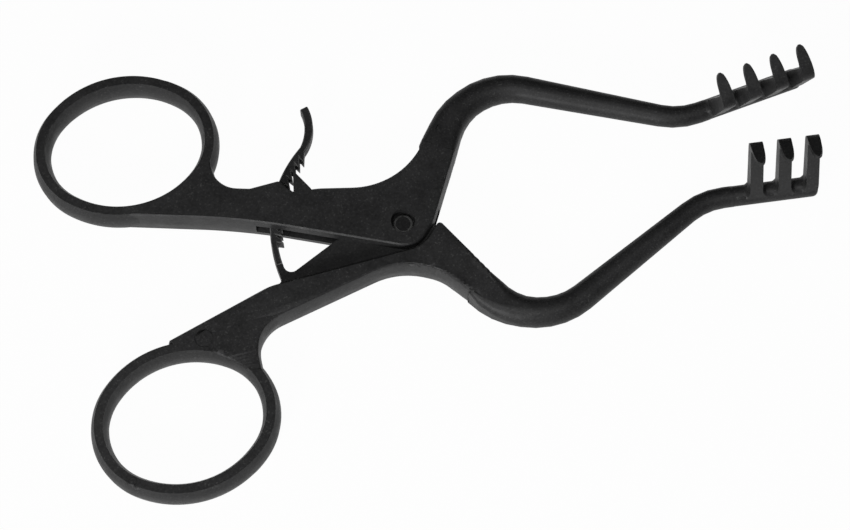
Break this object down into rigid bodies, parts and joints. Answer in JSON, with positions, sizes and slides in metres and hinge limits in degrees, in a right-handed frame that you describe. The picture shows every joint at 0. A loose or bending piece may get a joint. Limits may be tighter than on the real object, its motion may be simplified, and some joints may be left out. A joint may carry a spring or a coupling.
{
  "type": "self retaining retractor",
  "caption": "Hand-held self-retaining wound retractor: two ringed arms on a pivot, hooked rake jaws, held open by a toothed spring bar and pawl.",
  "frame": {"origin": "on the pivot axis, at the flat back face that the retractor lies on", "axes": "+X towards the jaws, +Z along the pivot and up the prongs, +Y towards the upper arm"},
  "size_m": [0.1404, 0.0807, 0.0189],
  "materials": {
    "moulding": "fine-grained satin, glass-filled black plastic",
    "pin": "satin black plastic"
  },
  "bodies": {
    "upper_arm": {"upper_finger_ring": "moulding", "upper_shank": "moulding", "upper_jaw_arm": "moulding", "upper_rake": "moulding"},
    "lower_arm": {"lower_finger_ring": "moulding", "lower_shank": "moulding", "lower_jaw_arm": "moulding", "lower_rake": "moulding", "pivot_pin": "pin"},
    "ratchet": {"ratchet_bar": "moulding", "release_tab": "moulding"}
  },
  "joints": [
    {"name": "pivot", "type": "hinge", "parent": "upper_arm", "child": "lower_arm", "pos_m": [0, 0, 0.0034], "axis": [0, 0, 1], "range_deg": [-24.99, 10.71]},
    {"name": "ratchet_flex", "type": "hinge", "parent": "lower_arm", "child": "ratchet", "pos_m": [-0.02313, -0.00089, 0.0034], "axis": [0, 0, 1], "range_deg": [0, 4], "stiffness_Nm_per_rad": 0.3, "deforming": ["ratchet_bar"]}
  ]
}
